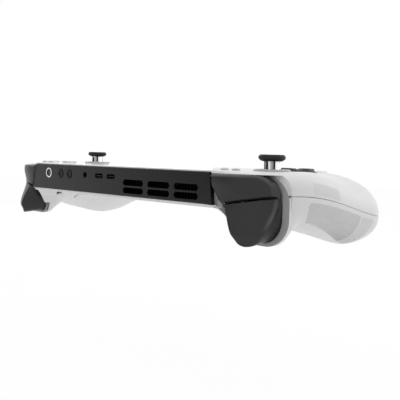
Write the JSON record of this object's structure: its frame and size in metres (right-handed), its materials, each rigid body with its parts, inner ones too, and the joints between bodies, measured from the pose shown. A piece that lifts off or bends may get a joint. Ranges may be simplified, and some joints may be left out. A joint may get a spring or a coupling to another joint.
{
  "type": "handheld gaming computer",
  "caption": "Handheld gaming computer: wide body with a flat screen between two deep grips, thumb sticks, direction pad, buttons, bumpers, triggers, vents and sockets in a dark top band.",
  "frame": {"origin": "middle of the footprint, on the surface the grips rest on", "axes": "+X to the player's right, +Y towards the top edge with the sockets, +Z out of the screen"},
  "size_m": [0.299, 0.1294, 0.0567],
  "materials": {
    "white_shell": "fine satin grain",
    "band_black": "fine matt grain",
    "button_black": "satin",
    "glass": "clear over a dark panel",
    "panel": "dark, switched off",
    "aluminium": "plain",
    "copper": "bright copper",
    "board": "green lacquer",
    "cell": "black film",
    "black_metal": "black anodised",
    "steel": "plain",
    "light_ring": "milky light guide",
    "grey_plastic": "fine matt grain",
    "bright": "polished",
    "cap_rubber": "matt",
    "ring_white": "satin",
    "pad_grey": "satin"
  },
  "bodies": {
    "case": {"front_shell": "white_shell", "back_shell": "white_shell", "top_frame": "band_black", "display_glass": "glass", "display_panel": "panel", "mid_frame": "aluminium", "main_board": "board", "heat_sink": "black_metal", "heat_pipe": "copper", "fan_housing": "band_black", "battery_pack": "cell", "storage_card": "board", "usb_sockets": "steel", "audio_socket": "band_black", "power_ring": "light_ring", "left_speaker": "band_black", "right_speaker": "band_black", "left_control_board": "board", "right_control_board": "board", "left_stick_base": "band_black", "left_stick_ring": "ring_white", "right_stick_base": "band_black", "right_stick_ring": "ring_white", "dpad_base": "band_black", "left_flange": "grey_plastic", "right_flange": "grey_plastic", "left_bracket": "band_black", "right_bracket": "band_black", "hinge_pins": "steel", "shell_screws": "steel"},
    "fan": {"fan_rotor": "button_black"},
    "left_yoke": {"left_stick_yoke": "steel"},
    "left_hub": {"left_stick_hub": "grey_plastic"},
    "left_stick": {"left_stick_shaft": "bright", "left_stick_cap": "cap_rubber"},
    "right_yoke": {"right_stick_yoke": "steel"},
    "right_hub": {"right_stick_hub": "grey_plastic"},
    "right_stick": {"right_stick_shaft": "bright", "right_stick_cap": "cap_rubber"},
    "pad_core": {"dpad_core": "steel"},
    "pad": {"dpad": "pad_grey"},
    "face_button_top": {"face_button_top": "ring_white"},
    "face_button_right": {"face_button_right": "ring_white"},
    "face_button_bottom": {"face_button_bottom": "ring_white"},
    "face_button_left": {"face_button_left": "ring_white"},
    "view_button": {"view_button": "ring_white"},
    "left_guide_button": {"left_guide_button": "ring_white"},
    "menu_button": {"menu_button": "ring_white"},
    "right_guide_button": {"right_guide_button": "ring_white"},
    "power_button": {"power_button": "button_black"},
    "volume_up_button": {"volume_up_button": "button_black"},
    "volume_down_button": {"volume_down_button": "button_black"},
    "left_bumper": {"left_bumper": "button_black"},
    "right_bumper": {"right_bumper": "button_black"},
    "left_trigger": {"left_trigger": "button_black"},
    "right_trigger": {"right_trigger": "button_black"},
    "left_paddle": {"left_paddle": "white_shell"},
    "right_paddle": {"right_paddle": "white_shell"},
    "left_travel_switch": {"left_travel_switch": "button_black"},
    "right_travel_switch": {"right_travel_switch": "button_black"}
  },
  "joints": [
    {"name": "fan_spin", "type": "hinge", "parent": "case", "child": "fan", "pos_m": [-0.052, 0.02079, 0.03354], "axis": [0, 0, 1], "continuous": true},
    {"name": "left_stick_tilt_fore_aft", "type": "hinge", "parent": "case", "child": "left_yoke", "pos_m": [-0.1162, 0.02968, 0.03954], "axis": [1, 0, 0], "range_deg": [-14, 14], "stiffness_Nm_per_rad": 0.08},
    {"name": "left_stick_tilt_side", "type": "hinge", "parent": "left_yoke", "child": "left_hub", "pos_m": [-0.1162, 0.02968, 0.03954], "axis": [0, 1, 0], "range_deg": [-14, 14], "stiffness_Nm_per_rad": 0.08},
    {"name": "left_stick_click", "type": "slide", "parent": "left_hub", "child": "left_stick", "axis": [0, 0, -1], "range_m": [0, 0.0005], "stiffness_N_per_m": 6000},
    {"name": "right_stick_tilt_fore_aft", "type": "hinge", "parent": "case", "child": "right_yoke", "pos_m": [0.1156, -0.01192, 0.03954], "axis": [1, 0, 0], "range_deg": [-14, 14], "stiffness_Nm_per_rad": 0.08},
    {"name": "right_stick_tilt_side", "type": "hinge", "parent": "right_yoke", "child": "right_hub", "pos_m": [0.1156, -0.01192, 0.03954], "axis": [0, 1, 0], "range_deg": [-14, 14], "stiffness_Nm_per_rad": 0.08},
    {"name": "right_stick_click", "type": "slide", "parent": "right_hub", "child": "right_stick", "axis": [0, 0, -1], "range_m": [0, 0.0005], "stiffness_N_per_m": 6000},
    {"name": "dpad_rock_fore_aft", "type": "hinge", "parent": "case", "child": "pad_core", "pos_m": [-0.11, -0.00622, 0.03854], "axis": [1, 0, 0], "range_deg": [-4, 4], "stiffness_Nm_per_rad": 0.3},
    {"name": "dpad_rock_side", "type": "hinge", "parent": "pad_core", "child": "pad", "pos_m": [-0.11, -0.00622, 0.03854], "axis": [0, 1, 0], "range_deg": [-4, 4], "stiffness_Nm_per_rad": 0.3},
    {"name": "face_button_top_press", "type": "slide", "parent": "case", "child": "face_button_top", "axis": [0, 0, -1], "range_m": [0, 0.0012], "stiffness_N_per_m": 1200},
    {"name": "face_button_right_press", "type": "slide", "parent": "case", "child": "face_button_right", "axis": [0, 0, -1], "range_m": [0, 0.0012], "stiffness_N_per_m": 1200},
    {"name": "face_button_bottom_press", "type": "slide", "parent": "case", "child": "face_button_bottom", "axis": [0, 0, -1], "range_m": [0, 0.0012], "stiffness_N_per_m": 1200},
    {"name": "face_button_left_press", "type": "slide", "parent": "case", "child": "face_button_left", "axis": [0, 0, -1], "range_m": [0, 0.0012], "stiffness_N_per_m": 1200},
    {"name": "view_press", "type": "slide", "parent": "case", "child": "view_button", "axis": [0, 0, -1], "range_m": [0, 0.0005], "stiffness_N_per_m": 3000},
    {"name": "left_guide_press", "type": "slide", "parent": "case", "child": "left_guide_button", "axis": [0, 0, -1], "range_m": [0, 0.0005], "stiffness_N_per_m": 3000},
    {"name": "menu_press", "type": "slide", "parent": "case", "child": "menu_button", "axis": [0, 0, -1], "range_m": [0, 0.0005], "stiffness_N_per_m": 3000},
    {"name": "right_guide_press", "type": "slide", "parent": "case", "child": "right_guide_button", "axis": [0, 0, -1], "range_m": [0, 0.0005], "stiffness_N_per_m": 3000},
    {"name": "power_press", "type": "slide", "parent": "case", "child": "power_button", "axis": [0, -1, 0], "range_m": [0, 0.0004], "stiffness_N_per_m": 4000},
    {"name": "volume_up_press", "type": "slide", "parent": "case", "child": "volume_up_button", "axis": [0, -1, 0], "range_m": [0, 0.0004], "stiffness_N_per_m": 4000},
    {"name": "volume_down_press", "type": "slide", "parent": "case", "child": "volume_down_button", "axis": [0, -1, 0], "range_m": [0, 0.0004], "stiffness_N_per_m": 4000},
    {"name": "left_bumper_press", "type": "hinge", "parent": "case", "child": "left_bumper", "pos_m": [-0.1035, 0.05718, 0.03654], "axis": [0, 0, 1], "range_deg": [0, 2], "stiffness_Nm_per_rad": 1.3},
    {"name": "right_bumper_press", "type": "hinge", "parent": "case", "child": "right_bumper", "pos_m": [0.1035, 0.05718, 0.03654], "axis": [0, 0, -1], "range_deg": [0, 2], "stiffness_Nm_per_rad": 1.3},
    {"name": "left_trigger_pull", "type": "hinge", "parent": "case", "child": "left_trigger", "pos_m": [-0.121, 0.04879, 0.02504], "axis": [-1, 0, 0], "range_deg": [0, 15], "stiffness_Nm_per_rad": 0.19},
    {"name": "right_trigger_pull", "type": "hinge", "parent": "case", "child": "right_trigger", "pos_m": [0.121, 0.04879, 0.02504], "axis": [-1, 0, 0], "range_deg": [0, 15], "stiffness_Nm_per_rad": 0.19},
    {"name": "left_paddle_press", "type": "slide", "parent": "case", "child": "left_paddle", "axis": [0, 0, 1], "range_m": [0, 0.0008], "stiffness_N_per_m": 1900},
    {"name": "right_paddle_press", "type": "slide", "parent": "case", "child": "right_paddle", "axis": [0, 0, 1], "range_m": [0, 0.0008], "stiffness_N_per_m": 1900},
    {"name": "left_travel_switch_slide", "type": "slide", "parent": "case", "child": "left_travel_switch", "axis": [0, -1, 0], "range_m": [0, 0.002]},
    {"name": "right_travel_switch_slide", "type": "slide", "parent": "case", "child": "right_travel_switch", "axis": [0, -1, 0], "range_m": [0, 0.002]}
  ]
}
